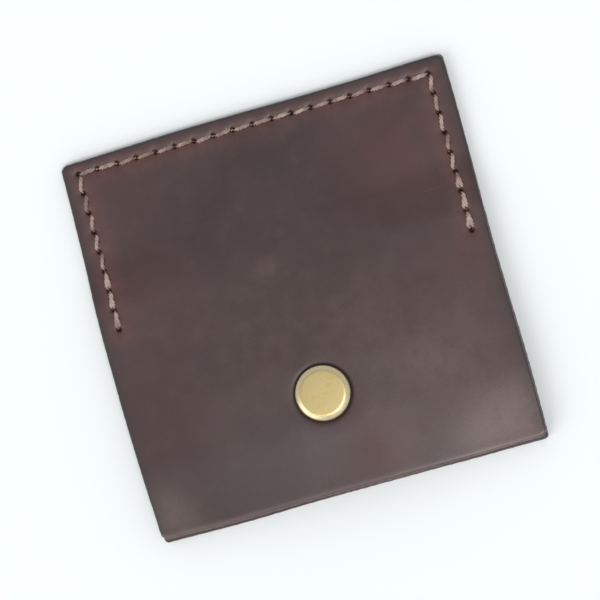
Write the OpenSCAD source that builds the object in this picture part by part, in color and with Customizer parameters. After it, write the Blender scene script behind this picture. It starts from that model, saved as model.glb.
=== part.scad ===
// Square leather coin purse with a snap flap, closed and lying on its back.
// X is the width, Y runs from the bottom edge to the top edge, Z comes out through the flap.
// The origin is the middle of the back face. All sizes are in millimetres.

/* [Leather] */
// side length of the square purse
side = 80; // [74:1:90]
// thickness of every leather panel
leather = 1.5; // [1.3:0.1:1.7]
// radius of the cut corners
corner_r = 1.2; // [0.8:0.1:2.5]
// how far the coin pocket stands off the back panel at its middle
bulge = 2.0; // [1.6:0.1:2.2]
// how much shorter the flap is than the pocket at the bottom edge
flap_short = 0.5; // [0.3:0.1:2]
// how far the flap's bottom corners stand off the pocket
corner_lift = 0.9; // [0.1:0.1:1.2]

/* [Seam] */
// distance from the cut edge to the stitch line
seam_inset = 3.2; // [3:0.1:3.6]
// stitches along one side of the purse
stitches = 18; // [16:1:20]
// stitches of each side that hold the front cover
cover_stitches = 8; // [7:1:9]
// width of the thread
thread_w = 0.7; // [0.5:0.05:0.8]
// slant of each stitch in degrees
slant = 8; // [0:1:9]

/* [Snap] */
// diameter of the snap cap
cap_d = 11.1; // [10.6:0.1:12]
// height of the snap cap over the leather
cap_h = 1.5; // [1.3:0.1:1.8]
// distance from the bottom edge of the purse up to the snap
snap_up = 20.7; // [19:0.1:23]

/* [Hidden] */
half = side / 2;
fit = 0.05;                                  // gap between leather faces that must part

// seam
line = half - seam_inset;                    // stitch line, from the middle
pitch = 2 * line / stitches;
hole_r = 0.45;
leg_r = 0.38;                                // thread where it passes through a hole
thread_h = 0.5;
end_gap = 0.15;                              // each stitch stops this short of its hole's centre
groove_w = 1.4;
groove_h = thread_h + fit;
last = stitches - cover_stitches;            // the hole where cover, pocket and back meet
doubled = 3;                                 // backstitched stitches at each end of the cover's seam

// levels of the undersides of the panels
z_pocket = leather;
z_cover = 2 * leather;
snap_gap = 2.7;                              // between pocket and flap at the snap
z_pocket_seat = z_pocket + bulge;
z_flap_seat = z_pocket_seat + leather + snap_gap;
z_cap_seat = z_flap_seat + leather;

// stations along Y
snap_y = snap_up - half;
seat = 6;                                    // half of the flat patch under the snap
hinge_y = -line + last * pitch - 2.6;
mouth_y = -line + (last + 1) * pitch - 0.6;
flange = half - 6.4;                         // seams lie flat outside this distance
hinge_rise = 0.25 * bulge;                   // of the pocket under the hinge line
crown = hinge_rise + 0.15;                   // of the cover at the hinge line
hinge_z = z_cover + crown + leather;

// a snap's tubes and plates
bore_r = 2.0;
tube_r = 1.9;
tube_in = 1.45;
plate = 0.4;
socket_r = 5.0;
socket_h = 2.15;
lip_r = 3.15;
spring_r = 3.1;
spring_wire = 0.28;
spring_drop = 1.55;
flare = 0.22;

leather_colour = [0.30, 0.19, 0.17];
inside_colour = [0.42, 0.27, 0.20];
thread_colour = [0.50, 0.35, 0.25];
brass_colour = [0.74, 0.62, 0.34];
dark_brass_colour = [0.58, 0.48, 0.28];

$fn = 64;

// ---- leather panels ----

function at(i) = -line + i * pitch;

function smooth(u) = u * u * (3 - 2 * u);

// stations from one [y, z] to another along a smooth S
function ramp(a, b, steps) =
    [for (i = [0:steps]) let (u = i / steps) [a.x + (b.x - a.x) * u, a.y + (b.y - a.y) * smooth(u)]];

// 1 across the flat middle, falling to 0 where the panel's side seam begins
function across(x, reach) =
    let (u = max(0, min(1, (abs(x) - seat) / (reach - seat)))) 0.5 + 0.5 * cos(180 * u);

// columns of a panel: flat middle, five steps down each side, then the flat seam
function columns(reach) =
    let (right = [for (i = [0:5]) seat + (reach - seat) * i / 5])
    concat([-half - 1], [for (i = [5:-1:0]) -right[i]], right, [half + 1]);

// a sheet of leather over a grid; edge and middle list [y, z] of its underside
module sheet(middle, edge, reach) {
    xs = columns(reach);
    ys = [for (s = middle) s.x];
    nx = len(xs);
    ny = len(ys);
    under = [
        for (y = ys) for (x = xs)
            let (low = lookup(y, edge), high = lookup(y, middle))
            [x, y, low + (high - low) * across(x, reach)]
    ];
    over = [for (p = under) p + [0, 0, leather]];
    n = nx * ny;
    cells = [for (j = [0:ny - 2]) for (i = [0:nx - 2]) [i + j * nx, xs[i] < 0]];
    // each cell is split along the diagonal that keeps the left and right halves alike
    top = [
        for (c = cells) let (a = c[0] + n, b = a + 1, d = a + nx, e = d + 1)
            each (c[1] ? [[a, d, e], [a, e, b]] : [[a, d, b], [b, d, e]])
    ];
    bottom = [
        for (c = cells) let (a = c[0], b = a + 1, d = a + nx, e = d + 1)
            each (c[1] ? [[a, e, d], [a, b, e]] : [[a, b, d], [b, e, d]])
    ];
    near = [for (i = [0:nx - 2]) each [[i, i + n, i + 1 + n], [i, i + 1 + n, i + 1]]];
    far_0 = (ny - 1) * nx;
    far = [
        for (i = [far_0:far_0 + nx - 2]) each [[i, i + 1 + n, i + n], [i, i + 1, i + 1 + n]]
    ];
    left = [
        for (j = [0:ny - 2]) let (a = j * nx, d = a + nx) each [[a, d + n, a + n], [a, d, d + n]]
    ];
    right = [
        for (j = [0:ny - 2]) let (a = j * nx + nx - 1, d = a + nx)
            each [[a, a + n, d + n], [a, d + n, d]]
    ];
    polyhedron(points = concat(under, over), faces = concat(top, bottom, near, far, left, right));
}

// block with rounded corners, from y0 to y1
module outline(y0, y1, height) {
    r = corner_r;
    translate([-half + r, y0, 0]) cube([side - 2 * r, y1 - y0, height]);
    translate([-half, y0 + r, 0]) cube([side, y1 - y0 - 2 * r, height]);
    for (x = [-half + r, half - r], y = [y0 + r, y1 - r]) translate([x, y, 0]) cylinder(r = r, h = height);
}

module holes(run) {
    for (p = run) translate([p.x, p.y, -1]) cylinder(r = hole_r, h = 12, $fn = 24);
}

module bar(p, q, width, z, height) {
    size = [abs(q.x - p.x) + width, abs(q.y - p.y) + width, height];
    translate([min(p.x, q.x) - width / 2, min(p.y, q.y) - width / 2, z]) cube(size);
}

// holes along the lower sides and bottom, and along the upper sides and top
pocket_run = concat(
    [for (i = [last - 1:-1:0]) [-line, at(i)]],
    [for (i = [1:stitches - 1]) [at(i), -line]],
    [for (i = [0:last - 1]) [line, at(i)]]
);
cover_run = concat(
    [for (i = [last:stitches]) [-line, at(i)]],
    [for (i = [1:stitches - 1]) [at(i), line]],
    [for (i = [stitches:-1:last]) [line, at(i)]]
);
meeting_holes = [[-line, at(last)], [line, at(last)]];

module back_panel() color(leather_colour) difference() {
    outline(-half, half, leather);
    for (s = [-1, 1]) {
        bar([-line, s * line], [line, s * line], groove_w, -1, 1 + groove_h);
        bar([s * line, -line], [s * line, line], groove_w, -1, 1 + groove_h);
    }
    holes(concat(pocket_run, cover_run));
}

pocket_middle = concat(
    [[-half - 1, z_pocket]],
    ramp([-flange, z_pocket], [snap_y - seat, z_pocket_seat], 3),
    ramp([snap_y + seat, z_pocket_seat], [hinge_y, z_pocket + hinge_rise], 4),
    [[mouth_y, z_pocket + 0.6 * hinge_rise]]
);
pocket_edge = [[-half - 1, z_pocket], [mouth_y, z_pocket]];

module pocket_panel() color(inside_colour) difference() {
    intersection() {
        sheet(pocket_middle, pocket_edge, flange - 0.6);
        outline(-half, mouth_y + corner_r + 1, 20);
    }
    groove_z = z_pocket + leather - groove_h;
    bar([-line, -line], [line, -line], groove_w, groove_z, 2);
    for (x = [-line, line]) bar([x, -line], [x, at(last - 1)], groove_w, groove_z, 2);
    holes(concat(pocket_run, meeting_holes));
    translate([0, snap_y, 0]) cylinder(r = bore_r, h = 20);
}

// the side seams of the cover step down from three layers to two past the pocket's mouth
root_edge = [
    [hinge_y, z_cover], [at(last + 1), z_cover], [at(last + 3), z_pocket], [half + 1, z_pocket]
];
root_top = z_cover + crown;
function root_middle_z(y) = root_top + (z_pocket - root_top) * smooth((y - hinge_y) / (flange - hinge_y));
root_rows = [
    hinge_y, at(last + 1), at(last + 3), at(last + 3) + (flange - at(last + 3)) / 3,
    at(last + 3) + (flange - at(last + 3)) * 2 / 3, flange
];
root_middle = concat([for (y = root_rows) [y, root_middle_z(y)]], [[half + 1, z_pocket]]);

module flap_root() color(leather_colour) difference() {
    intersection() {
        sheet(root_middle, root_edge, flange + 0.9);
        outline(hinge_y - corner_r - 1, half, 20);
    }
    holes(cover_run);
}

flap_end = -half + flap_short;
flap_middle = concat(
    [[flap_end - 1, z_flap_seat - 1.9]],
    ramp([flap_end + 1, z_flap_seat - 1.6], [snap_y - seat, z_flap_seat], 3),
    ramp([snap_y + seat, z_flap_seat], [hinge_y - fit, root_top + fit], 5)
);
flap_edge = [[flap_end, z_cover + fit + corner_lift], [hinge_y, z_cover + fit]];

module flap() color(leather_colour) difference() {
    intersection() {
        sheet(flap_middle, flap_edge, flange + 0.9);
        outline(flap_end, hinge_y + corner_r + 1, 20);
    }
    translate([0, snap_y, 0]) cylinder(r = bore_r, h = 20);
}

// ---- thread ----

// one stitch lying between two points on its centre line, lifted so that a sloping one clears the leather
module stitch(p, q, lean, shift = 0) {
    d = q - p;
    length = norm(d);
    lift = thread_h / 2 * (length / norm([d.x, d.y]) - 1);
    translate((p + q) / 2 + [0, 0, lift]) rotate([0, -asin(d.z / length), atan2(d.y, d.x)])
        translate([0, shift, 0]) rotate(lean)
            cube([length - 2 * end_gap, thread_w, thread_h], center = true);
}

module legs(run, z0, tops) {
    for (i = [0:len(run) - 1]) translate([run[i].x, run[i].y, z0])
        cylinder(r = leg_r, h = tops[i] - z0, $fn = 24);
}

back_z = fit + thread_h / 2;
function on_back(p) = [p.x, p.y, back_z];
function on_pocket(p) = [p.x, p.y, z_pocket + leather - thread_h / 2 - fit];
function on_cover(p) = [p.x, p.y, lookup(p.y, root_edge) + leather + thread_h / 2];

module flap_thread() color(thread_colour) {
    n = len(cover_run);
    front = [for (p = cover_run) on_cover(p)];
    legs(cover_run, back_z, [for (p = front) p.z + 0.1]);
    for (i = [0:n - 2]) {
        stitch(front[i], front[i + 1], slant);
        stitch(on_back(cover_run[i]), on_back(cover_run[i + 1]), -slant * 0.6);
    }
    for (i = [0:doubled - 1]) {
        stitch(front[i], front[i + 1], slant, thread_w * 0.8);
        stitch(front[n - 2 - i], front[n - 1 - i], slant, thread_w * 0.8);
    }
}

module pocket_thread() color(thread_colour) {
    n = len(pocket_run);
    legs(pocket_run, back_z, [for (p = pocket_run) on_pocket(p).z + 0.1]);
    for (i = [0:n - 2]) {
        stitch(on_pocket(pocket_run[i]), on_pocket(pocket_run[i + 1]), slant * 0.6);
        stitch(on_back(pocket_run[i]), on_back(pocket_run[i + 1]), -slant * 0.6);
    }
    // the tails reach up to the cover's first hole on the back
    for (x = [-line, line]) stitch([x, at(last - 1), back_z], [x, at(last) - 0.4, back_z], 0);
}

// ---- snap fastener ----

module turned(z, profile) translate([0, snap_y, z]) rotate_extrude() polygon(profile);

module snap_cap() color(brass_colour) {
    r = cap_d / 2;
    wall = 0.35;
    turned(z_cap_seat, [
        [0, cap_h], [r - 1.1, cap_h], [r - 0.65, cap_h - 0.08], [r - 0.3, cap_h - 0.25],
        [r - 0.08, cap_h - 0.55], [r, cap_h - 0.85], [r - 0.1, 0.25], [r - 0.4, 0],
        [4.2, 0], [4.2, 0.3], [r - 0.45, 0.3], [r - wall, 0.6], [r - 0.9, cap_h - wall], [0, cap_h - wall]
    ]);
}

module snap_cap_post() color(dark_brass_colour) {
    end = -leather - plate;
    turned(z_cap_seat, [
        [tube_in, 0.62], [4.8, 0.62], [4.8, 0.32], [tube_r, 0.32], [tube_r, end],
        [2.5, end], [2.5, end - flare], [tube_in, end - flare]
    ]);
}

module snap_socket() color(brass_colour) turned(z_flap_seat, [
    [tube_r + fit, 0], [socket_r, 0], [socket_r, 0.35 - socket_h], [socket_r - 0.3, -socket_h],
    [lip_r, -socket_h], [lip_r, 0.3 - socket_h], [socket_r - 0.4, 0.3 - socket_h],
    [socket_r - 0.4, -plate], [tube_r + fit, -plate]
]);

module snap_spring() color(dark_brass_colour)
    translate([0, snap_y, z_flap_seat - spring_drop])
        rotate_extrude() translate([spring_r, 0]) circle(r = spring_wire, $fn = 24);

module snap_stud() color(brass_colour) turned(z_pocket_seat + leather, [
    [tube_r + fit, 0], [4.6, 0], [4.6, 0.25], [4.4, plate], [2.6, plate], [2.6, 1.15],
    [2.9, 1.5], [2.9, 1.65], [2.5, 1.95], [0, 1.95], [0, 1.65], [2.4, 1.65], [2.55, 1.5],
    [2.25, 1.15], [2.25, plate], [tube_r + fit, plate]
]);

module snap_eyelet() color(dark_brass_colour) {
    top = leather + plate;
    turned(z_pocket_seat, [
        [tube_in, -0.45], [3.9, -0.45], [4.3, -0.2], [4.3, 0], [tube_r, 0], [tube_r, top],
        [2.18, top], [2.18, top + flare], [tube_in, top + flare]
    ]);
}

back_panel();
pocket_panel();
flap_root();
flap();
flap_thread();
pocket_thread();
snap_cap();
snap_cap_post();
snap_socket();
snap_spring();
snap_stud();
snap_eyelet();
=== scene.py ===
"""Square leather coin purse with a snap flap, closed and lying on a pale table.

Lengths are millimetres, and put() turns them into the frame's metres. Only the table, the lights and the
camera are placed in metres. X is the width, Y runs from the bottom edge to the top edge, and Z comes out
through the flap.
"""
import math

import bpy
import numpy as np
from mathutils import Matrix, Vector


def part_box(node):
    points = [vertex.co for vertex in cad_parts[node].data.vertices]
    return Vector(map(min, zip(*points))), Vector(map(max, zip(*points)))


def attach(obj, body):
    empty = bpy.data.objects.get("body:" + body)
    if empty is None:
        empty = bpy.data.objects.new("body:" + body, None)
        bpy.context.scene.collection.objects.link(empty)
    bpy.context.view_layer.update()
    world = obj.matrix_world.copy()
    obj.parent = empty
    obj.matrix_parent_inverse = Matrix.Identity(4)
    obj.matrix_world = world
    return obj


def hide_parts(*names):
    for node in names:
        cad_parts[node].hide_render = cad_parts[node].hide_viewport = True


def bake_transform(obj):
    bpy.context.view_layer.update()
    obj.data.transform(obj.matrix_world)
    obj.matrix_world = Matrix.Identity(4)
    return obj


MM = 0.001
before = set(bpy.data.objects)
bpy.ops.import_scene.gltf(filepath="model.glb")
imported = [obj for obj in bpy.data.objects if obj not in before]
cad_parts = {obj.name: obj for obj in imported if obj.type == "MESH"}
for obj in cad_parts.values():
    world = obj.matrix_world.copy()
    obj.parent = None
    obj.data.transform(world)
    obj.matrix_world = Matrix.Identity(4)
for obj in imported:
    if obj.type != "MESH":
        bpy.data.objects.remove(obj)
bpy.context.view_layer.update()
rng = np.random.default_rng(7)


# ---- sizes, read from the CAD nodes ----

def low(node):
    """Least x, y and z of a CAD node."""
    return np.array(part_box(node)[0]) / MM


def high(node):
    """Greatest x, y and z of a CAD node."""
    return np.array(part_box(node)[1]) / MM


HALF = high("back_panel")[0]                    # half of the purse's side
LEATHER = high("back_panel")[2]                 # thickness of every panel
HINGE_Y = low("flap_root")[1]                   # line where the flap starts to bend
MOUTH_Y = high("pocket_panel")[1]               # open edge of the pocket
FLAP_END = low("flap")[1]
SNAP_Y = (low("snap_cap")[1] + high("snap_cap")[1]) / 2
CAP_R = high("snap_cap")[0]
CAP_Z = low("snap_cap")[2]
CAP_H = high("snap_cap")[2] - CAP_Z
FLAP_SEAT = high("snap_socket")[2]              # underside of the flap at the snap
STUD_Z = low("snap_stud")[2]                    # outside of the pocket at the snap
POCKET_SEAT = STUD_Z - LEATHER                  # inside of the pocket at the snap
COVER_Z = 2 * LEATHER                           # underside of the cover at the lower side seams
HINGE_RISE = 0.25 * (POCKET_SEAT - LEATHER)     # of the pocket under the hinge line
CROWN = COVER_Z + HINGE_RISE + 0.15             # underside of the cover above it


# ---- sizes of the leather work ----

SEAT = 6.0                                      # half of the flat patch under the snap
EDGE_LIFT = 0.9                                 # how far the flap's sides stand off the pocket
EDGE_DROP = 0.4                                 # and how much of that is lost again at its corners
BELLY = 0.1                                     # how far a cut edge bulges outwards
FRAY = 0.035                                    # unevenness of the fibres along it
MARK_Y = -0.66 * HALF                           # small pressed mark on the back
MARK_R = 4.2

STITCHES = 18                                   # along one side
COVER_STITCHES = 8                              # of these, down each side of the cover
DOUBLED = 3                                     # backstitched stitches at the ends of the cover's seam
INSET = 3.2                                     # from the cut edge to the stitch line
LINE = HALF - INSET                             # stitch line, from the middle
FLANGE = HALF - 2 * INSET                       # seams lie flat outside this distance
PITCH = 2 * LINE / STITCHES
LAST = STITCHES - COVER_STITCHES                # the hole where cover, pocket and back meet

THREAD_R = 0.43
PLIES = 3                                       # strands twisted into the thread
TWIST = 2.1                                     # length of thread for one turn of its strands
DIP = {1: 1.75, -1: 1.2}                        # how deep it goes into its holes, on top and on the back
SUNK_COVER = 0.08                               # how far it is drawn below the face of the cover
SUNK_POCKET = 0.22                              # and below the face of the pocket
BACK_GAP = 0.1                                  # room between the table and the stitches of the back
LIFT = 0.06                                     # every stitch stands out from these places by this much

# how far the ends of a stitch swing out of line
LEAN_SIDE = -0.5
LEAN_TOP = 0.28
LEAN_POCKET = 0.22
LEAN_BACK = -0.34
LEAN_DOUBLED = 0.3
SHIFT_DOUBLED = 0.22                            # between a stitch and its double

# how much the stitches differ, as standard deviations; the last two are shares of the mean
VARIES = {"lean": 0.1, "shift": 0.08, "height": 0.02, "turns": 0.05, "radius": 0.04}

TRIM_STEP = 12
TRIM_REACH = 3                                  # the trimming fades out this far inside the square

# for each cut edge, the seed of its fine ripple, and how far it lies outside the square at every
# TRIM_STEP along it, from left to right or from the bottom up
TRIM = {
    "right": (5, (0.3, 0.5, 0.3, 0.1, 0.4, 0.45, 0.4)),
    "left": (4, (-0.6, -0.1, 0.4, 0.6, 0.55, 0.35, 0.0)),
    "top": (3, (-0.7, -0.4, -0.35, -0.4, -0.45, -0.35, 0.1)),
    "bottom": (6, (-0.4, -0.1, -0.35, -0.4, -0.45, -0.4, -0.5)),
}


def at(i):
    """Place of hole i along a side."""
    return -LINE + i * PITCH


# holes of each seam from left to right: round the bottom for the pocket, over the top for the cover
pocket_run = (
    [(-LINE, at(i)) for i in range(LAST - 1, -1, -1)]
    + [(at(i), -LINE) for i in range(1, STITCHES)]
    + [(LINE, at(i)) for i in range(LAST)]
)
cover_run = (
    [(-LINE, at(i)) for i in range(LAST, STITCHES + 1)]
    + [(at(i), LINE) for i in range(1, STITCHES)]
    + [(LINE, at(i)) for i in range(STITCHES, LAST - 1, -1)]
)
back_run = pocket_run + cover_run[::-1] + pocket_run[:1]


# ---- curves and waves ----

def smooth(u):
    """Smooth step from 0 to 1."""
    u = np.clip(u, 0, 1)
    return u * u * (3 - 2 * u)


def bell(d, reach, power=2):
    """1 at distance 0, falling towards 0 past reach. A higher power has a flatter top and steeper sides."""
    return np.exp(-(d / reach) ** power)


def curve(y, stations, soft=2.2):
    """Curve through (y, value) stations, its corners rounded over about soft millimetres."""
    k, v = np.array(sorted(stations), float).T
    step = 0.1
    reach = 3 * soft
    line = np.arange(k[0] - 2 * reach, k[-1] + 2 * reach, step)
    offset = np.arange(-reach, reach + step / 2, step)
    weight = np.exp(-0.5 * (offset / soft) ** 2)
    return np.interp(y, line, np.convolve(np.interp(line, k, v), weight / weight.sum(), "same"))


def ripple(t, seed, size):
    """Slow unevenness of a hand-cut edge, a sum of (share, length, phase) waves."""
    parts = ((0.7, 14.0, 1.7), (0.24, 6.1, 2.9), (0.06, 2.7, 5.3))
    return size * sum(share * np.sin(t / length + phase * seed) for share, length, phase in parts)


def waves(x, y, seed, size):
    """Slow unevenness of a leather surface."""
    return size * (
        np.sin(x / 8.7 + y / 13.0 + seed) * np.cos(y / 7.9 - x / 17.0 + 2 * seed)
        + 0.5 * np.sin(x / 4.6 - y / 5.9 + 3 * seed)
    )


def trimmed(t, edge, seed):
    """How far a cut edge wanders: the panels are trimmed together, but never quite line up."""
    ripple_seed, places = TRIM[edge]
    middle = len(places) // 2
    stations = [((i - middle) * TRIM_STEP, place) for i, place in enumerate(places)]
    return curve(t, stations, 4) + ripple(t, seed + ripple_seed, 0.12)


# ---- shape of the panels ----

def across(x, reach):
    """1 on the flat middle, falling to 0 where the side seam begins."""
    u = np.clip((np.abs(x) - SEAT) / (reach - SEAT), 0, 1)
    return 0.5 + 0.5 * np.cos(math.pi * u)


def back_under(x, y):
    return np.zeros(x.shape)


def back_over(x, y):
    return np.full(x.shape, LEATHER)


def pocket_under(x, y):
    """Inside of the pocket: sewn flat at the sides and the bottom, bowed out to the snap and the mouth."""
    middle = curve(y, [
        (-HALF, LEATHER), (-FLANGE, LEATHER), (SNAP_Y - SEAT, POCKET_SEAT), (SNAP_Y + SEAT, POCKET_SEAT),
        (SNAP_Y + SEAT + 5, POCKET_SEAT - 0.45), (HINGE_Y, LEATHER + HINGE_RISE),
        (MOUTH_Y, LEATHER + 0.6 * HINGE_RISE),
    ])
    return LEATHER + (middle - LEATHER) * across(x, FLANGE - 0.6)


def pocket_over(x, y):
    return pocket_under(x, y) + LEATHER


def cover_edge(y):
    """Underside of the cover at its side seams: over the pocket low down, on the back panel higher up."""
    down = (HINGE_Y - y) / (HINGE_Y - FLAP_END)
    lifted = EDGE_LIFT * smooth(1.35 * down) - EDGE_DROP * smooth(2.5 * down - 1.5)
    stepped = (LEATHER - COVER_Z) * smooth((y - MOUTH_Y) / (3 * PITCH))
    return COVER_Z + 0.05 * smooth(1 - (y - HINGE_Y) / PITCH) + lifted + stepped


def cover_under(x, y):
    """Underside of the cover: flat round the snap, lower over the mouth, sewn down at the top."""
    middle = curve(y, [
        (FLAP_END, FLAP_SEAT - 1.5), (SNAP_Y - SEAT, FLAP_SEAT), (SNAP_Y + SEAT, FLAP_SEAT),
        (SNAP_Y + SEAT + 7, FLAP_SEAT - 1.3), (HINGE_Y, CROWN + 0.9), ((HINGE_Y + FLANGE) / 2, CROWN - 1.0),
        (FLANGE, LEATHER), (HALF, LEATHER),
    ])
    edge = cover_edge(y)
    return edge + (middle - edge) * across(x, FLANGE + 0.9)


def cover_over(x, y):
    return cover_under(x, y) + LEATHER


def back_relief(x, y):
    """The margin outside the seam lifts off the table a little, and a plain ring and dot are pressed in."""
    margin = np.maximum(np.abs(x), np.abs(y)) - LINE
    lift = 0.16 * smooth(margin / INSET) + 0.12 * smooth(margin / 1.5 + 1)
    r = np.hypot(x, y - MARK_Y)
    ring = bell(r - MARK_R, 0.32, 4)
    dot = bell(r, 1.0, 4)
    return np.zeros(x.shape), lift + 0.22 * np.maximum(ring, dot)


def pocket_relief(x, y):
    """The middle of the pocket is a little uneven, except at the snap."""
    swell = waves(x, y, 0.6, 0.05) * smooth((FLANGE - np.maximum(np.abs(x), -y)) / 8)
    near_snap = bell(np.hypot(x, y - SNAP_Y), 8, 4)
    return swell * (1 - near_snap), swell * (1 - near_snap)


def cover_relief(x, y):
    """The cover is uneven inside its seam, banked up round the cap, and its margin slumps down."""
    r = np.hypot(x, y - SNAP_Y)
    inside = smooth((FLANGE + 2 - np.maximum(np.abs(x), y)) / 9)
    swell = waves(x, y, 2.1, 0.11) * inside * (1 - bell(r, 8.5, 4))
    bank = 0.1 * bell(r - 8.6, 2.2) - 0.13 * bell(r - CAP_R - 0.25, 0.5)
    margin = np.maximum(np.abs(x), y) - LINE
    slump = -0.12 * smooth(margin / INSET) * smooth((y - HINGE_Y) / 6)
    return swell + bank + slump, swell + bank


# ---- objects ----

def link(name, data):
    """A new object in the scene."""
    obj = bpy.data.objects.new(name, data)
    bpy.context.scene.collection.objects.link(obj)
    return obj


def store(mesh, key, kind, field, values):
    """Keep a value at each point of the mesh, for the materials to read."""
    data = mesh.attributes.new(key, kind, "POINT").data
    data.foreach_set(field, np.asarray(values, np.float32).ravel())


def put(name, points, faces, materials, sort=None, marks=None):
    """A mesh object from millimetre points, with a material index per face and marks to store by name."""
    mesh = bpy.data.meshes.new(name)
    mesh.from_pydata((np.asarray(points, float) * MM).tolist(), [], [list(f) for f in faces])
    for m in materials:
        mesh.materials.append(m)
    if sort is not None:
        mesh.polygons.foreach_set("material_index", np.asarray(sort, np.int32))
    mesh.polygons.foreach_set("use_smooth", np.ones(len(mesh.polygons), bool))
    store(mesh, "spot", "FLOAT_VECTOR", "vector", points)
    for key, values in (marks or {}).items():
        store(mesh, key, "FLOAT", "value", values)
    mesh.update()
    return link(name, mesh)


def stand_in(obj, body, node):
    """Let an object stand in for a CAD node and ride on its body."""
    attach(obj, body)
    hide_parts(node)


# ---- panels ----

def grid_lines(lo, hi, extra=()):
    """Grid lines from lo to hi, close together at the cut edges and round every stitch hole."""
    near_edge = (0, 0.07, 0.16, 0.28, 0.48, 0.8, 1.3)
    near_hole = (-0.72, -0.44, -0.22, 0, 0.22, 0.44, 0.72)
    least_gap = 0.08
    last_gap = 0.06
    widest_gap = 0.95
    marks = [lo + e for e in near_edge] + [hi - e for e in near_edge] + list(extra)
    marks += [at(i) + o for i in range(STITCHES + 1) for o in near_hole]
    kept = [lo]
    for m in sorted(marks):
        if kept[-1] + least_gap < m < hi - last_gap:
            kept.append(m)
    kept.append(hi)
    lines = [
        np.linspace(a, b, math.ceil((b - a) / widest_gap), endpoint=False) for a, b in zip(kept, kept[1:])
    ]
    return np.concatenate(lines + [[hi]])


def to_run(x, y, run):
    """Distance to the stitch line through the holes of run, and to its nearest hole."""
    far = 99.0
    line = np.full(x.shape, far)
    hole = np.full(x.shape, far)
    for (ax, ay), (bx, by) in zip(run, run[1:] + run[-1:]):
        hole = np.minimum(hole, np.hypot(x - ax, y - ay))
        squared = (bx - ax) ** 2 + (by - ay) ** 2
        if 0 < squared < (2 * PITCH) ** 2:      # a longer step is no stitch
            t = np.clip(((x - ax) * (bx - ax) + (y - ay) * (by - ay)) / squared, 0, 1)
            line = np.minimum(line, np.hypot(x - ax - t * (bx - ax), y - ay - t * (by - ay)))
    return line, hole


def stitch_marks(x, y, run, pull, halo):
    """How far a seam presses into a face, how strongly it reddens it, and where painted shade marks its
    holes.
    """
    if not run:
        return [np.zeros(x.shape) for _ in range(3)]
    line, hole = to_run(x, y, list(run))
    groove, dimple, pit = pull * bell(line, 0.75), 0.14 * bell(hole, 1.2), 0.6 * bell(hole, 0.42, 4)
    reach, strength = halo
    return groove + dimple + pit, strength * bell(line, reach), bell(hole, 0.55, 4)


def eased(d, r):
    """How far a surface falls away at distance d from a cut edge that is rounded to r."""
    return r - np.sqrt(np.maximum(r * r - np.clip(r - d, 0, r) ** 2, 0))


def patches(x, y, spots):
    """Soft round patches, each (x, y, reach, amount)."""
    return sum(
        (amount * np.exp(-((x - px) ** 2 + (y - py) ** 2) / reach ** 2) for px, py, reach, amount in spots),
        np.zeros(x.shape),
    )


def margin_dark(to_edge, from_bottom):
    """How far the margin is darkened by burnishing: strongly at the cut edge, hardly at the bottom one."""
    dark = 0.48 * bell(to_edge, 1.7) + 0.52 * bell(to_edge, 0.6)
    return dark * (0.15 + 0.85 * smooth((from_bottom - 0.4) / 2.5))


def cut_outline(gx, gy, y0, y1, corner, seed):
    """A grid with its corners cut and its edges trimmed, and the outward direction at each point."""
    cx = np.clip(gx, -HALF + corner, HALF - corner)
    cy = np.clip(gy, y0 + corner, y1 - corner)
    a, b = gx - cx, gy - cy
    reach = np.maximum(np.hypot(a, b), 1e-9)    # not zero, so that it can divide
    k = np.maximum(np.abs(a), np.abs(b)) / reach
    x, y = cx + a * k, cy + b * k
    x = x + trimmed(gy, "right", seed) * smooth((gx - HALF) / TRIM_REACH + 1)
    x = x - trimmed(gy, "left", seed) * smooth((-gx - HALF) / TRIM_REACH + 1)
    y = y + trimmed(gx, "top", seed) * smooth((gy - y1) / TRIM_REACH + 1)
    y = y - trimmed(gx, "bottom", seed) * smooth((y0 - gy) / TRIM_REACH + 1)
    return x, y, np.stack([a / reach, b / reach], -1)


def belly_rows(above, below, outward, seed):
    """Rows of points down a cut edge that bellies outwards a little, between its two rims."""
    steps = np.arange(len(above))
    rows = []
    for j, t in enumerate((0.2, 0.5, 0.8)):
        p = above * (1 - t) + below * t
        belly = BELLY * math.sin(math.pi * t) + FRAY * np.sin(steps * 0.9 + 2 * j + seed)
        p[:, :2] += outward * belly[:, None]
        rows.append(p)
    return rows


def sheet(x, y, top, bottom, outward, seed):
    """Points and faces of two surfaces joined by a cut edge, and for each face which of these it is in."""
    n = x.size
    ids = np.arange(n).reshape(x.shape)
    quads = np.stack([ids[:-1, :-1], ids[:-1, 1:], ids[1:, 1:], ids[1:, :-1]], -1).reshape(-1, 4)
    rim = np.concatenate([ids[0, :-1], ids[:-1, -1], ids[-1, :0:-1], ids[:0:-1, 0]])
    above, below = (np.stack([x, y, z], -1).reshape(-1, 3) for z in (top, bottom))
    belly = belly_rows(above[rim], below[rim], outward.reshape(-1, 2)[rim], seed)
    rows = [rim] + [2 * n + j * len(rim) + np.arange(len(rim)) for j in range(len(belly))] + [rim + n]
    wall = np.concatenate([
        np.stack([r0, r1, np.roll(r1, -1), np.roll(r0, -1)], -1) for r0, r1 in zip(rows, rows[1:])
    ])
    points = np.concatenate([above, below] + belly)
    faces = np.concatenate([quads, quads[:, ::-1] + n, wall])
    return points, faces, np.repeat([0, 1, 2], [len(quads), len(quads), len(wall)])


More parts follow.
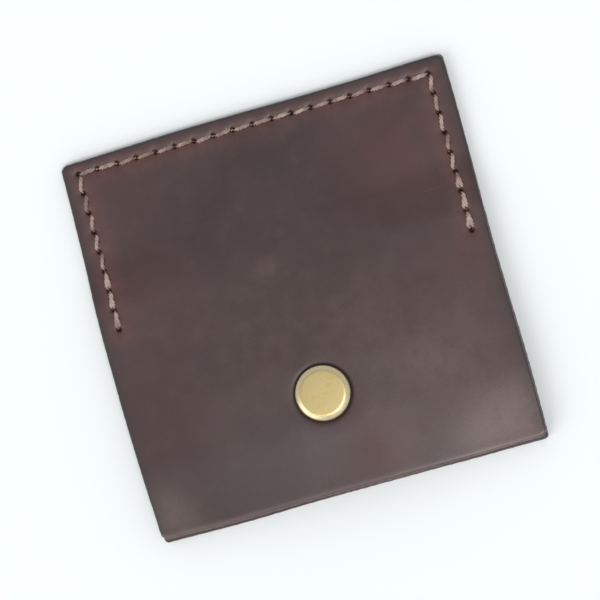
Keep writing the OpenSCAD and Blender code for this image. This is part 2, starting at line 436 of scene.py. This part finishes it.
def panel(name, y0, y1, under, over, materials, run_over=(), run_under=(), seed=1, corner=1.6,
          ease=(0.4, 0.4), pull=0.2, relief=None, red=(), bloom_and_painted_sheen=(), halo=(2.6, 0.65), ring=0, rub=0.0,
          extra=((), ())):
    """A leather panel: two faces with stitch marks pressed into them, joined by a rounded cut edge.

    under(x, y) and over(x, y) are the heights of its faces, and relief(x, y) gives (over, under) offsets to
    them. materials are those of the upper face, the lower face and the cut edge. run_over and run_under
    are the stitch holes in each face, and pull is how deep the seams sink. corner is the size of the cut
    corners, and ease how far each face is rounded at its edge. red and bloom are the patches where the
    leather is redder, and where it is paler and shinier: partly wax bloom and scuffs, partly a painted
    sheen where the light is reflected. halo is the reach and strength of the redder band along the seam,
    ring the radius of a dark line painted round the snap, grime with painted shadow where the cap meets
    the leather, and rub the strength of a pale band painted along the bottom edge, a painted highlight
    where that edge catches the light. extra is more grid lines, across and along.
    """
    gx, gy = np.meshgrid(grid_lines(-HALF, HALF, extra[0]), grid_lines(y0, y1, extra[1]))
    x, y, outward = cut_outline(gx, gy, y0, y1, corner, seed)
    to_edge = np.minimum(np.minimum(gx + HALF, HALF - gx), np.minimum(gy - y0, y1 - gy))
    press_over, seam_over, hole_over = stitch_marks(x, y, run_over, pull, halo)
    press_under, seam_under, hole_under = stitch_marks(x, y, run_under, pull, halo)
    # a dark line round the cap, kept with the holes: grime, and painted shadow where the cap's rim meets
    # the leather
    if ring:
        hole_over = hole_over + 0.8 * bell(np.hypot(gx, gy - SNAP_Y) - ring, 0.42, 4)

    top, bottom = over(gx, gy) - press_over, under(gx, gy) + press_under
    if relief:
        lift = relief(gx, gy)
        top, bottom = top + lift[0], bottom + lift[1]
    top, bottom = top - eased(to_edge, ease[0]), bottom + eased(to_edge, ease[1])

    points, faces, sort = sheet(x, y, top, bottom, outward, seed)

    dark = margin_dark(to_edge, gy - y0)
    # pale patches: wax bloom and scuffs, partly painted sheen, and a painted highlight along the bottom
    # edge where it catches the light
    pale = patches(gx, gy, bloom_and_painted_sheen) + rub * bell(gy - y0 - 0.5, 0.6)
    redder = patches(gx, gy, red)
    marks = {
        "seam": (seam_over, seam_under, 0.0), "hole": (hole_over, hole_under, 0.0),
        "edge": (dark, dark, 1.0), "red": (redder, redder, 0.0), "bloom_and_painted_sheen": (pale, pale, 0.0),
    }
    wall_points = len(points) - 2 * x.size
    marks = {
        key: np.concatenate([on_top.ravel(), on_bottom.ravel(), np.full(wall_points, on_wall)])
        for key, (on_top, on_bottom, on_wall) in marks.items()
    }
    return put(name, points, faces, materials, sort, marks)


# ---- thread ----

def cord(path, side, radius, turns, sides=8):
    """Points and faces of a twisted cord along path; side is the horizontal direction across it."""
    path = np.asarray(path, float)
    along = np.gradient(path, axis=0)
    along /= np.linalg.norm(along, axis=1)[:, None]
    up = np.cross(side, along)
    up /= np.linalg.norm(up, axis=1)[:, None]
    n = len(path)
    angle = np.linspace(0, 2 * math.pi, sides, endpoint=False)
    off_centre, ply_radius = 0.47 * radius, 0.55 * radius
    points, faces = [], []
    for k in range(PLIES):
        turn = 2 * math.pi * (k / PLIES + turns * np.linspace(0, 1, n))
        centre = path + off_centre * (np.cos(turn)[:, None] * side + np.sin(turn)[:, None] * up)
        ring = np.cos(angle)[None, :, None] * side + np.sin(angle)[None, :, None] * up[:, None, :]
        start = k * n * sides
        points.append((centre[:, None, :] + ply_radius * ring).reshape(-1, 3))
        ids = start + np.arange(n * sides).reshape(n, sides)
        nxt = np.roll(ids, -1, axis=1)
        faces.append(np.stack([ids[:-1], nxt[:-1], nxt[1:], ids[1:]], -1).reshape(-1, 4).tolist())
        faces.append([ids[0, ::-1].tolist(), ids[-1].tolist()])
    return np.concatenate(points), [f for group in faces for f in group]


def stitch_path(p, q, lean, sign, steps=22):
    """Path of one stitch: out of hole p, over the leather and into hole q.

    sign is 1 on a face that looks up and -1 on the back. lean is how far its ends swing out of line.
    """
    p, q = np.asarray(p, float), np.asarray(q, float)
    flat = (q - p) * (1, 1, 0)
    flat /= np.linalg.norm(flat)
    side = np.array([-flat[1], flat[0], 0.0])
    u = np.linspace(-1, 1, steps)
    u = np.sign(u) * np.abs(u) ** 0.8
    path = p + (q - p) * ((u + 1) / 2)[:, None] + side * (lean * u * (1 - 0.35 * u * u))[:, None]
    path[:, 2] -= sign * DIP[sign] * np.abs(u) ** 2.4
    path[:, 2] += sign * LIFT
    return path, side


def sew(name, node, runs):
    """All the stitches of one thread, each a little different.

    runs lists (points on the thread's centre line, sign, lean, offset across).
    """
    points, faces = [], []
    count = 0
    for run, sign, lean, shift in runs:
        for p, q in zip(run, run[1:]):
            p, q = np.array(p, float), np.array(q, float)
            path, side = stitch_path(p, q, lean + rng.normal(0, VARIES["lean"]), sign)
            path += side * (shift + rng.normal(0, VARIES["shift"]))
            path[:, 2] += sign * rng.normal(0, VARIES["height"])
            turns = np.linalg.norm(q - p) / TWIST * (1 + rng.normal(0, VARIES["turns"]))
            pts, fcs = cord(path, side, THREAD_R * (1 + rng.normal(0, VARIES["radius"])), turns)
            points.append(pts)
            faces += [[i + count for i in f] for f in fcs]
            count += len(pts)
    stand_in(put(name, np.concatenate(points), faces, [THREAD]), "body", node)


def on_cover(p):
    return p[0], p[1], float(cover_over(np.array(p[0]), np.array(p[1]))) - SUNK_COVER


def on_pocket(p):
    return p[0], p[1], float(pocket_over(np.array(p[0]), np.array(p[1]))) - SUNK_POCKET


def on_back(p):
    return p[0], p[1], THREAD_R + BACK_GAP


# ---- turned metal ----

TINY = 1e-6                                     # lengths below this count as none


def rounded(profile, r, steps=4):
    """The profile's corners cut to small arcs."""
    p = [np.array(c, float) for c in profile]
    out = []
    for i, c in enumerate(p):
        before, after = p[i - 1] - c, p[(i + 1) % len(p)] - c
        la, lb = np.linalg.norm(before), np.linalg.norm(after)
        if min(c[0], la, lb) < TINY:
            out.append(c)
            continue
        cut = min(r, 0.45 * la, 0.45 * lb)
        a, b = c + before / la * cut, c + after / lb * cut
        out += [(1 - t) ** 2 * a + 2 * t * (1 - t) * c + t * t * b for t in np.linspace(0, 1, steps)]
    return out


def turned(name, node, body, z, profile, material, r, segments=128):
    """A ring or cup turned about the snap's axis from a closed (radius, height) profile."""
    points, rows = [], []
    for radius, height in rounded(profile, r):
        if radius < TINY:
            rows.append(np.full(segments, len(points)))
            points.append((0, SNAP_Y, z + height))
        else:
            rows.append(len(points) + np.arange(segments))
            points += [
                (radius * math.cos(t), SNAP_Y + radius * math.sin(t), z + height)
                for t in np.linspace(0, 2 * math.pi, segments, endpoint=False)
            ]
    faces = []
    for a, b in zip(rows, rows[1:] + rows[:1]):
        for i in range(segments):
            j = (i + 1) % segments
            corners = list(dict.fromkeys([int(a[i]), int(b[i]), int(b[j]), int(a[j])]))
            if len(corners) > 2:
                faces.append(corners)
    stand_in(put(name, points, faces, [material]), body, node)


# ---- materials ----

def rgb(r, g, b):
    """Linear colour from 0-255 display values."""
    return tuple(
        c / 12.92 if c <= 0.04045 else ((c + 0.055) / 1.055) ** 2.4 for c in (r / 255, g / 255, b / 255)
    ) + (1.0,)


class Shader:
    """A material whose nodes are added one call at a time. Inputs are sockets or plain values."""

    def __init__(self, name):
        self.material = bpy.data.materials.new(name)
        self.material.use_nodes = True
        self.tree = self.material.node_tree
        self.tree.nodes.clear()
        self.out = self.tree.nodes.new("ShaderNodeOutputMaterial")

    def node(self, kind, inputs=None, out=0, **settings):
        made = self.tree.nodes.new(f"ShaderNode{kind}")
        for key, value in settings.items():
            setattr(made, key, value)
        for key, value in (inputs or {}).items():
            self.feed(made.inputs[key], value)
        return made.outputs[out]

    def feed(self, socket, value):
        if isinstance(value, bpy.types.NodeSocket):
            self.tree.links.new(value, socket)
        else:
            socket.default_value = value

    def mark(self, name):
        """A mark stored at the points of the mesh."""
        return self.node("Attribute", out="Fac", attribute_name=name)

    def spot(self, scale=(1, 1, 1)):
        """Position on the piece at rest, in millimetres."""
        at_rest = self.node("Attribute", out="Vector", attribute_name="spot")
        return self.node("VectorMath", {0: at_rest, 1: scale}, operation="MULTIPLY")

    def noise(self, vector, scale, detail=4.0, rough=0.55, twist=0.0):
        return self.node("TexNoise", {
            "Vector": vector, "Scale": scale, "Detail": detail, "Roughness": rough, "Distortion": twist
        })

    def range(self, value, lo, hi, to_lo=0.0, to_hi=1.0):
        """Smooth step from to_lo to to_hi as value goes from lo to hi."""
        return self.node("MapRange", {
            "Value": value, "From Min": lo, "From Max": hi, "To Min": to_lo, "To Max": to_hi
        }, interpolation_type="SMOOTHSTEP")

    def math(self, how, a, b):
        return self.node("Math", {0: a, 1: b}, operation=how)

    def mix(self, factor, a, b):
        """Colour a, turning to colour b as factor goes from 0 to 1."""
        made = self.tree.nodes.new("ShaderNodeMix")
        made.data_type = "RGBA"
        self.feed(made.inputs["Factor"], factor)
        self.feed(made.inputs["A"], a)
        self.feed(made.inputs["B"], b)
        return made.outputs["Result"]

    def bump(self, height, strength, distance, below=None):
        """Relief over the relief below, with its depth in millimetres."""
        inputs = {"Height": height, "Strength": strength, "Distance": distance * MM}
        if below is not None:
            inputs["Normal"] = below
        return self.node("Bump", inputs)

    def finish(self, **inputs):
        surface = self.node("BsdfPrincipled", {k.replace("_", " "): v for k, v in inputs.items()})
        self.tree.links.new(surface, self.out.inputs["Surface"])
        return self.material


def grain_leather():
    """Waxed pull-up leather: dark purple brown, redder where it is stretched at the seams."""
    dark_brown, brown = rgb(58, 39, 39), rgb(67, 47, 47)
    clouded, speckled, scratched = rgb(90, 73, 71), rgb(102, 81, 78), rgb(112, 94, 90)
    # the pale bloom colour is wax bloom and, in its patches, also a painted sheen
    reddened, pale_bloom_and_sheen, pulled = rgb(88, 48, 47), rgb(118, 99, 96), rgb(108, 68, 63)
    # the darkest colour is painted shade in the stitch holes, and grime with painted shadow round the cap
    burnished, in_pores, hole_and_ring_shade = rgb(48, 41, 42), rgb(44, 32, 31), rgb(40, 25, 20)

    s = Shader("grain_leather")
    spot = s.spot()
    seam_near, pit, edge, red, bloom_and_painted_sheen = (s.mark(n) for n in ("seam", "hole", "edge", "red", "bloom_and_painted_sheen"))
    patch = s.noise(spot, 0.075, 4.0, 0.5, 0.5)
    cloud = s.noise(spot, 0.26, 5.0, 0.6)
    fine = s.noise(spot, 3.0, 4.0, 0.6)
    cells = s.node("TexVoronoi", {
        "Vector": spot, "Scale": 1.9, "Randomness": 1.0
    }, feature="DISTANCE_TO_EDGE")
    pores = s.range(cells, 0.0, 0.16, 1.0, 0.0)

    colour = s.mix(s.range(patch, 0.3, 0.72), dark_brown, brown)
    colour = s.mix(s.range(cloud, 0.5, 0.78, 0.0, 0.16), colour, clouded)
    colour = s.mix(s.range(fine, 0.5, 0.75, 0.0, 0.12), colour, speckled)
    colour = s.mix(s.math("MULTIPLY", red, s.range(cloud, 0.3, 0.6, 0.6, 1.0)), colour, reddened)
    # paler where waxed and scuffed, and where a painted sheen and a painted highlight along the bottom edge
    # stand in for light
    pale = s.math("MULTIPLY", bloom_and_painted_sheen, s.range(cloud, 0.3, 0.6, 0.7, 1.0))
    colour = s.mix(pale, colour, pale_bloom_and_sheen)
    stretched = s.math("MULTIPLY", seam_near, s.range(cloud, 0.3, 0.65, 0.3, 0.8))
    colour = s.mix(stretched, colour, pulled)
    colour = s.mix(s.math("MULTIPLY", edge, 0.85), colour, burnished)
    colour = s.mix(s.math("MULTIPLY", pores, 0.14), colour, in_pores)
    scratch = s.noise(s.spot((0.35, 3.0, 1)), 0.6, 4.0, 0.6, 0.9)
    colour = s.mix(s.range(scratch, 0.68, 0.78, 0.0, 0.12), colour, scratched)
    # painted shade in the stitch holes, and grime with painted shadow in the line round the cap
    colour = s.mix(s.math("MULTIPLY", pit, 0.8), colour, hole_and_ring_shade)

    rough = s.math("SUBTRACT", s.range(cloud, 0.3, 0.7, 0.4, 0.47), s.math("MULTIPLY", bloom_and_painted_sheen, 0.1))
    rough = s.math("ADD", rough, s.math("MULTIPLY", red, 0.25))
    relief = s.bump(s.noise(spot, 0.5, 3.0, 0.5), 0.25, 0.1)
    relief = s.bump(cells, 0.22, 0.08, relief)
    relief = s.bump(fine, 0.22, 0.05, relief)
    return s.finish(
        Base_Color=colour, Roughness=rough, Normal=relief,
        Specular_IOR_Level=s.range(pit, 0.0, 1.0, 0.45, 0.02),
        Coat_Weight=s.range(pit, 0.0, 0.5, 0.12, 0.0), Coat_Roughness=0.3,
    )


def flesh_leather():
    """The napped inner face of the same leather."""
    tan, light_tan, in_nap, burnished = rgb(112, 85, 72), rgb(128, 99, 84), rgb(84, 60, 50), rgb(62, 45, 40)

    s = Shader("flesh_leather")
    patch = s.noise(s.spot(), 0.2, 5.0, 0.6, 0.5)
    fibre = s.noise(s.spot((1.0, 0.45, 1)), 2.6, 6.0, 0.75, 1.5)
    colour = s.mix(s.range(patch, 0.3, 0.7), tan, light_tan)
    colour = s.mix(s.range(fibre, 0.35, 0.7, 0.0, 0.6), colour, in_nap)
    colour = s.mix(s.math("MULTIPLY", s.mark("edge"), 0.5), colour, burnished)
    return s.finish(
        Base_Color=colour, Roughness=0.92, Normal=s.bump(fibre, 0.7, 0.16), Specular_IOR_Level=0.2,
        Sheen_Weight=0.35, Sheen_Roughness=0.5,
    )


def cut_edge():
    """Burnished cut edge, with the fibres running along it."""
    dark, light, bare = rgb(56, 43, 42), rgb(106, 87, 82), rgb(126, 104, 94)

    s = Shader("cut_edge")
    streak = s.noise(s.spot((0.5, 0.5, 3.2)), 1.0, 5.0, 0.65, 0.6)
    speck = s.noise(s.spot(), 1.6, 4.0, 0.7)
    colour = s.mix(s.range(streak, 0.35, 0.68), dark, light)
    colour = s.mix(s.range(speck, 0.58, 0.72, 0.0, 0.6), colour, bare)
    relief = s.bump(streak, 0.7, 0.14)
    relief = s.bump(speck, 0.4, 0.08, relief)
    return s.finish(
        Base_Color=colour, Roughness=s.range(speck, 0.3, 0.7, 0.4, 0.62), Normal=relief,
        Specular_IOR_Level=0.45, Coat_Weight=0.15, Coat_Roughness=0.35,
    )


def waxed_thread():
    """Pale brown thread, worn lighter in places."""
    dark, light, in_twist = rgb(138, 111, 104), rgb(194, 171, 162), rgb(108, 82, 76)

    s = Shader("waxed_thread")
    spot = s.spot()
    fibre = s.noise(spot, 6.0, 3.0, 0.7, 0.5)
    worn = s.noise(spot, 0.35, 4.0, 0.6)
    colour = s.mix(s.range(worn, 0.35, 0.68), dark, light)
    colour = s.mix(s.range(fibre, 0.4, 0.7, 0.0, 0.45), colour, in_twist)
    return s.finish(
        Base_Color=colour, Roughness=0.58, Normal=s.bump(fibre, 0.5, 0.06),
        Specular_IOR_Level=0.4, Sheen_Weight=0.15,
    )


def brass(name, light, dark, rough, rim=99.0):
    """Antique brass with browned low spots and faint rubbing marks, worn pale outside the radius rim."""
    tarnish, worn = rgb(112, 88, 48), rgb(228, 212, 176)

    s = Shader(name)
    spot = s.spot()
    blotch = s.noise(spot, 0.55, 6.0, 0.65, 0.7)
    speck = s.noise(spot, 4.0, 4.0, 0.7)
    rub = s.noise(s.spot((0.6, 5.0, 1)), 1.1, 4.0, 0.7, 0.4)
    colour = s.mix(s.range(blotch, 0.38, 0.7), light, dark)
    colour = s.mix(s.range(speck, 0.6, 0.74, 0.0, 0.5), colour, tarnish)
    centred = s.node("VectorMath", {0: spot, 1: (0, -SNAP_Y, 0)}, operation="ADD")
    flat = s.node("VectorMath", {0: centred, 1: (1, 1, 0)}, operation="MULTIPLY")
    radius = s.node("VectorMath", {0: flat}, out="Value", operation="LENGTH")
    colour = s.mix(s.range(radius, rim, rim + 0.5, 0.0, 0.8), colour, worn)
    relief = s.bump(rub, 0.18, 0.02)
    relief = s.bump(speck, 0.15, 0.02, relief)
    roughness = s.range(blotch, 0.35, 0.7, rough, rough + 0.12)
    return s.finish(Base_Color=colour, Metallic=1.0, Roughness=roughness, Normal=relief)


GRAIN = grain_leather()
FLESH = flesh_leather()
EDGE = cut_edge()
THREAD = waxed_thread()
CAP_BRASS = brass("cap_brass", rgb(210, 192, 138), rgb(190, 166, 114), 0.3, CAP_R - 1.2)
INNER_BRASS = brass("inner_brass", rgb(206, 182, 118), rgb(166, 138, 82), 0.28)


# ---- the leather pieces ----

# patches of the leather, each (x, y, reach, amount); the pale ones are wax bloom and a scuff, and partly a
# painted sheen where the light is reflected, strongest towards the bottom
COVER_RED = (
    (27, 24, 12, 0.55), (-34, 8, 11, 0.4), (-30, 32, 9, 0.35), (35, -1, 8, 0.45), (9, -34, 9, 0.55),
    (-35, -18, 10, 0.3), (30, -24, 12, 0.3),
)
COVER_BLOOM_AND_SHEEN = (
    (12, -7, 12, 0.25), (-12, -4, 13, 0.2), (0, -22, 26, 0.1), (22, -20, 7, 0.35), (33, -14, 9, 0.2),
    (35, -34, 9, 0.8), (26, -37, 6, 0.3), (-37, -36, 6, 0.4), (-4.5, 8, 1.9, 0.3),
)
BACK_RED = ((0, 0, 45, 0.3), (-28, 30, 18, 0.6), (-34, -8, 12, 0.5), (36, 0, 9, 0.4), (34, 34, 10, 0.3))
BACK_BLOOM_AND_SHEEN = ((22, -25, 14, 0.5), (-14, -30, 12, 0.45), (-30, -20, 9, 0.3), (2, -4, 8, 0.2))

mark_lines = np.arange(-4.8, 4.9, 0.3)          # closer grid lines over the pressed mark
snap_lines = np.arange(-6.9, 7.0, 0.3)          # and round the cap

back = panel(
    "back_leather", -HALF, HALF, back_under, back_over, [FLESH, GRAIN, EDGE], run_under=back_run, seed=1,
    corner=0.8, ease=(0.15, 0.45), pull=0.3, relief=back_relief, red=BACK_RED, bloom_and_painted_sheen=BACK_BLOOM_AND_SHEEN,
    halo=(3.6, 1.0), extra=(mark_lines, mark_lines + MARK_Y),
)
stand_in(back, "body", "back_panel")

pocket = panel(
    "pocket_leather", -HALF, MOUTH_Y, pocket_under, pocket_over, [GRAIN, FLESH, EDGE],
    run_over=pocket_run, seed=4, corner=0.8, ease=(0.4, 0.15), pull=0.3, relief=pocket_relief,
)
stand_in(pocket, "body", "pocket_panel")

cover = panel(
    "cover_leather", FLAP_END, HALF, cover_under, cover_over, [GRAIN, FLESH, EDGE],
    run_over=cover_run, seed=9, ease=(0.45, 0.25), relief=cover_relief, red=COVER_RED, bloom_and_painted_sheen=COVER_BLOOM_AND_SHEEN,
    ring=CAP_R + 0.12, rub=0.5, extra=(snap_lines, snap_lines + SNAP_Y),
)
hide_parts("flap_root", "flap")
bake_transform(cover)


# ---- the threads ----

cover_front = [on_cover(p) for p in cover_run]
left_corner = COVER_STITCHES                    # places of the two top corners in the run
right_corner = COVER_STITCHES + STITCHES
pocket_back = [(-LINE, at(LAST))] + pocket_run + [(LINE, at(LAST))]
sew("cover_thread", "flap_thread", [
    (cover_front[:left_corner + 1], 1, LEAN_SIDE, 0.0),
    (cover_front[left_corner:right_corner + 1], 1, LEAN_TOP, 0.0),
    (cover_front[right_corner:], 1, LEAN_SIDE, 0.0),
    (cover_front[:DOUBLED + 1], 1, LEAN_DOUBLED, -SHIFT_DOUBLED),
    (cover_front[-DOUBLED - 1:], 1, LEAN_DOUBLED, SHIFT_DOUBLED),
    ([on_back(p) for p in cover_run], -1, LEAN_BACK, 0.0),
])
sew("pocket_thread_stitches", "pocket_thread", [
    ([on_pocket(p) for p in pocket_run], 1, LEAN_POCKET, 0.0),
    ([on_back(p) for p in pocket_back], -1, LEAN_BACK, 0.0),
])


# ---- the snap fastener, as closed (radius, height) profiles ----

POST_R = high("snap_cap_post")[0]
SOCKET_R = high("snap_socket")[0]
SOCKET_H = FLAP_SEAT - low("snap_socket")[2]
STUD_R = high("snap_stud")[0]
STUD_H = high("snap_stud")[2] - STUD_Z
EYELET_R = high("snap_eyelet")[0]
PLATE = 0.4                                     # thickness of the pressed brass
TUBE_R = 1.9                                    # rivet tubes of the post and the eyelet
TUBE_IN = 1.45
TUBE_HOLE = TUBE_R + 0.05                       # holes that they go through
RIVETED = LEATHER + PLATE                       # what a tube goes through
FLARED = RIVETED + 0.22                         # and where its curled end reaches to
LIP_R = 3.15                                    # mouth of the socket
NECK_R = 2.6                                    # neck and head of the stud
HEAD_R = 2.9

turned("cap", "snap_cap", "flap", CAP_Z, [
    (0, CAP_H), (2.5, CAP_H - 0.01), (CAP_R - 1.3, CAP_H - 0.03), (CAP_R - 1.0, CAP_H - 0.07),
    (CAP_R - 0.85, CAP_H - 0.13), (CAP_R - 0.3, CAP_H - 0.37), (CAP_R - 0.09, CAP_H - 0.58),
    (CAP_R, CAP_H - 0.9), (CAP_R, 0.25), (CAP_R - 0.3, -0.08), (4.2, -0.08), (4.2, 0.3),
    (CAP_R - 0.5, 0.3), (CAP_R - 0.4, 0.6), (CAP_R - 0.9, CAP_H - 0.55), (0, CAP_H - 0.35),
], CAP_BRASS, 0.2)
turned("cap_post", "snap_cap_post", "flap", CAP_Z, [
    (TUBE_IN, 0.62), (POST_R, 0.62), (POST_R, 0.32), (TUBE_R, 0.32), (TUBE_R, -RIVETED),
    (2.5, -RIVETED), (2.5, -FLARED), (TUBE_IN, -FLARED),
], INNER_BRASS, 0.1)
turned("socket", "snap_socket", "flap", FLAP_SEAT, [
    (TUBE_HOLE, 0), (SOCKET_R, 0), (SOCKET_R, 0.35 - SOCKET_H), (SOCKET_R - 0.3, -SOCKET_H),
    (LIP_R, -SOCKET_H), (LIP_R, 0.3 - SOCKET_H), (SOCKET_R - 0.4, 0.3 - SOCKET_H),
    (SOCKET_R - 0.4, -PLATE), (TUBE_HOLE, -PLATE),
], INNER_BRASS, 0.25)
turned("stud", "snap_stud", "body", STUD_Z, [
    (TUBE_HOLE, 0), (STUD_R, 0), (STUD_R, 0.25), (STUD_R - 0.2, PLATE), (NECK_R, PLATE),
    (NECK_R, 1.15), (HEAD_R, 1.5), (HEAD_R, 1.65), (HEAD_R - 0.4, STUD_H), (0, STUD_H),
    (0, STUD_H - 0.3), (HEAD_R - 0.5, 1.65), (HEAD_R - 0.35, 1.5), (NECK_R - 0.35, 1.15),
    (NECK_R - 0.35, PLATE), (TUBE_HOLE, PLATE),
], INNER_BRASS, 0.2)
turned("eyelet", "snap_eyelet", "body", POCKET_SEAT, [
    (TUBE_IN, -0.45), (EYELET_R - 0.4, -0.45), (EYELET_R, -0.2), (EYELET_R, 0), (TUBE_R, 0),
    (TUBE_R, RIVETED), (2.18, RIVETED), (2.18, FLARED), (TUBE_IN, FLARED),
], INNER_BRASS, 0.15)

# the ring spring keeps its CAD mesh
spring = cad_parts["snap_spring"].data
spring.materials.clear()
spring.materials.append(INNER_BRASS)


# ---- table, light and camera, in metres ----

TABLE = 4.0                                     # half of the table's side
TURN = math.radians(15.5)                       # how far the purse is turned in the picture
UP = Vector((math.sin(TURN), math.cos(TURN), 0))
RIGHT = Vector((math.cos(TURN), -math.sin(TURN), 0))
SKY_LIGHT = 0.62                                # strength of the sky as light
SKY_SEEN = 0.98                                 # and as the camera sees it
LOOK_AT = Vector((0, 0, 0.004))                 # about half of the purse's height
LOOK_FROM = Vector((0.095, -0.06, 1.0)).normalized()    # direction from there to the camera
DISTANCE = 0.55                                 # from there to the camera


def table():
    """A plain pale floor under the purse."""
    mesh = bpy.data.meshes.new("table")
    corners = [(-TABLE, -TABLE, 0), (TABLE, -TABLE, 0), (TABLE, TABLE, 0), (-TABLE, TABLE, 0)]
    mesh.from_pydata(corners, [], [(0, 1, 2, 3)])
    pale = Shader("table").finish(
        Base_Color=(0.93, 0.955, 0.955, 1), Roughness=0.9, Specular_IOR_Level=0.1
    )
    mesh.materials.append(pale)
    obj = link("table", mesh)
    return obj


def sky():
    """Even white light; the camera sees it a little brighter, so the table has no horizon."""
    world = bpy.data.worlds.new("studio")
    world.use_nodes = True
    tree = world.node_tree
    background = tree.nodes["Background"]
    background.inputs["Color"].default_value = (0.955, 0.985, 1.0, 1)
    seen = tree.nodes.new("ShaderNodeLightPath").outputs["Is Camera Ray"]
    strength = tree.nodes.new("ShaderNodeMapRange")
    strength.inputs["To Min"].default_value = SKY_LIGHT
    strength.inputs["To Max"].default_value = SKY_SEEN
    tree.links.new(seen, strength.inputs["Value"])
    tree.links.new(strength.outputs["Result"], background.inputs["Strength"])
    bpy.context.scene.world = world


def sun(name, place, power, spread, colour=(1, 1, 1)):
    """Far soft light from the direction of place; spread is its width in radians."""
    data = bpy.data.lights.new(name, "SUN")
    data.energy, data.angle, data.color = power, spread, colour
    link(name, data).rotation_euler = (-Vector(place)).to_track_quat("-Z", "Y").to_euler()


def photo_camera():
    """A long lens almost straight above, turned so that the purse lies askew in the picture."""
    camera = link("camera", bpy.data.cameras.new("camera"))
    camera.data.lens = 165
    camera.data.sensor_width = 36
    camera.data.clip_start = 0.01
    camera.location = LOOK_AT + LOOK_FROM * DISTANCE
    across_axis = UP.cross(LOOK_FROM).normalized()
    camera.rotation_mode = "QUATERNION"
    camera.rotation_quaternion = Matrix(
        (across_axis, LOOK_FROM.cross(across_axis), LOOK_FROM)
    ).transposed().to_quaternion()
    bpy.context.scene.camera = camera
    return camera


def hide_from_below(obj, camera):
    """A camera under the table doesn't see it, so that it can look at the purse's back."""
    hidden = obj.driver_add("hide_render").driver
    height = hidden.variables.new()
    height.name = "z"
    height.targets[0].id = camera
    height.targets[0].data_path = "location[2]"
    hidden.expression = "z < 0"


hide_from_below(table(), photo_camera())
sky()
sun("window", UP * -0.75 + RIGHT * -0.7 + Vector((0, 0, 1.05)), 0.72, 0.7, (1.0, 0.99, 0.97))
sun("overhead", (0.17, -0.33, 1.0), 0.95, 0.28)
sun("under", (-0.5, -0.4, -1.0), 0.9, 0.9)      # reaches the back only when the table is hidden
bpy.context.scene.view_settings.view_transform = "Standard"
